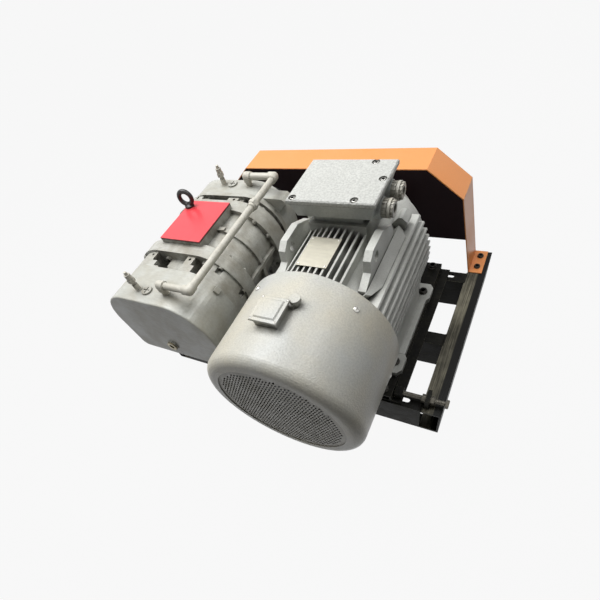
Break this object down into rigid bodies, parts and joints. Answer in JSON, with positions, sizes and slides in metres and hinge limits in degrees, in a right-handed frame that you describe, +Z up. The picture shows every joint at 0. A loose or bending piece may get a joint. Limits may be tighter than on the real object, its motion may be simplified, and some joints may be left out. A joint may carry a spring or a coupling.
{
  "type": "roots vacuum pump",
  "caption": "Belt-driven three-lobe Roots pump and its electric motor on a steel base, with timing gears, belt guard, fan cowl, balance pipe and lifting eye.",
  "frame": {"origin": "centre of the four anchor holes, on the underside of the base frame", "axes": "+Z up; +Y along the shafts, from the fan cowl towards the belt guard; +X from the pump towards the motor"},
  "size_m": [1.154, 0.964, 0.659],
  "materials": {
    "black_frame_paint": "worn satin, near-black paint with bare grey steel on the rubbed top flange",
    "orange_paint": "satin orange enamel",
    "black_panel_paint": "matt black inside paint",
    "dark_bolt_steel": "blackened bolts",
    "adjuster_steel": "bare oiled steel",
    "motor_grey_paint": "hammered silver-grey paint",
    "cowl_grey_paint": "hammered warm silver-grey paint",
    "box_grey_paint": "hammered cool grey paint",
    "pump_grey_paint": "brushed-on warm grey paint over rough casting",
    "pipe_grey_paint": "warm grey paint",
    "stator_iron": "laminated iron",
    "winding_copper": "varnished copper",
    "bearing_steel": "ground bearing steel",
    "shaft_steel": "turned steel",
    "rotor_iron": "machined cast iron",
    "gear_steel": "hobbed steel",
    "fan_plastic": "moulded fan",
    "pulley_iron": "turned cast iron",
    "belt_rubber": "wrapped V belt",
    "seal_rubber": "lip seal",
    "red_cover": "salmon red cover plate",
    "black_forged_steel": "black forged steel",
    "bright_screw": "zinc plated",
    "nameplate_metal": "bare plate, nothing printed",
    "gauge_brass": "dull plated brass",
    "terminal_board": "moulded terminal board"
  },
  "bodies": {
    "base": {"base_side_beams": "black_frame_paint", "base_cross_beams": "black_frame_paint", "pump_risers": "black_frame_paint", "guard_rim": "orange_paint", "guard_front_panel": "black_panel_paint", "guard_rear_panel": "black_panel_paint", "guard_bolts": "dark_bolt_steel", "adjuster_lug": "black_frame_paint", "adjuster_nuts": "adjuster_steel", "v_belts": "belt_rubber", "pump_casing": "pump_grey_paint", "front_end_plate": "pump_grey_paint", "rear_end_plate": "pump_grey_paint", "gear_cover": "pump_grey_paint", "drive_cover": "pump_grey_paint", "pump_bearings": "bearing_steel", "shaft_seal": "seal_rubber", "inlet_cover": "red_cover", "lifting_eye": "black_forged_steel", "breathers": "pipe_grey_paint", "filler_plugs": "pump_grey_paint", "pipe_fittings": "pipe_grey_paint", "balance_pipe": "pipe_grey_paint", "oil_gauge": "gauge_brass", "pump_bolts": "dark_bolt_steel"},
    "motor_carriage": {"motor_slides": "black_frame_paint", "slide_bolts": "dark_bolt_steel", "adjuster_rod": "adjuster_steel", "motor_frame": "motor_grey_paint", "motor_foot_bolts": "dark_bolt_steel", "lifting_lugs": "motor_grey_paint", "drive_end_shield": "motor_grey_paint", "fan_end_shield": "motor_grey_paint", "stator_core": "stator_iron", "stator_windings": "winding_copper", "motor_bearings": "bearing_steel", "fan_cowl": "cowl_grey_paint", "fan_grille": "cowl_grey_paint", "cowl_screws": "bright_screw", "fan_motor": "stator_iron", "cowl_box": "cowl_grey_paint", "cowl_box_lid": "cowl_grey_paint", "cowl_gland": "cowl_grey_paint", "terminal_box": "box_grey_paint", "terminal_lid": "motor_grey_paint", "lid_screws": "bright_screw", "terminal_block": "terminal_board", "power_glands": "cowl_grey_paint", "nameplate": "nameplate_metal"},
    "motor_rotor": {"motor_shaft": "shaft_steel", "rotor_core": "stator_iron", "motor_pulley": "pulley_iron"},
    "cooling_fan": {"fan_impeller": "fan_plastic"},
    "drive_rotor_set": {"drive_shaft": "shaft_steel", "drive_rotor": "rotor_iron", "drive_gear": "gear_steel", "pump_pulley": "pulley_iron"},
    "driven_rotor_set": {"driven_shaft": "shaft_steel", "driven_rotor": "rotor_iron", "driven_gear": "gear_steel"}
  },
  "joints": [
    {"name": "motor_tension_slide", "type": "slide", "parent": "base", "child": "motor_carriage", "axis": [1, 0, 0], "range_m": [-0.012, 0]},
    {"name": "motor_shaft_spin", "type": "hinge", "parent": "motor_carriage", "child": "motor_rotor", "pos_m": [0.215, 0, 0.377], "axis": [0, 1, 0], "continuous": true},
    {"name": "cooling_fan_spin", "type": "hinge", "parent": "motor_carriage", "child": "cooling_fan", "pos_m": [0.215, -0.45, 0.377], "axis": [0, 1, 0], "continuous": true},
    {"name": "drive_rotor_spin", "type": "hinge", "parent": "base", "child": "drive_rotor_set", "pos_m": [-0.238, -0.11, 0.377], "axis": [0, 1, 0], "continuous": true},
    {"name": "driven_rotor_spin", "type": "hinge", "parent": "base", "child": "driven_rotor_set", "pos_m": [-0.398, -0.11, 0.377], "axis": [0, 1, 0], "continuous": true}
  ],
  "couplings": [
    {"joint": "drive_rotor_spin", "follows": "motor_shaft_spin", "ratio": 0.89474},
    {"joint": "driven_rotor_spin", "follows": "motor_shaft_spin", "ratio": -0.89474}
  ]
}
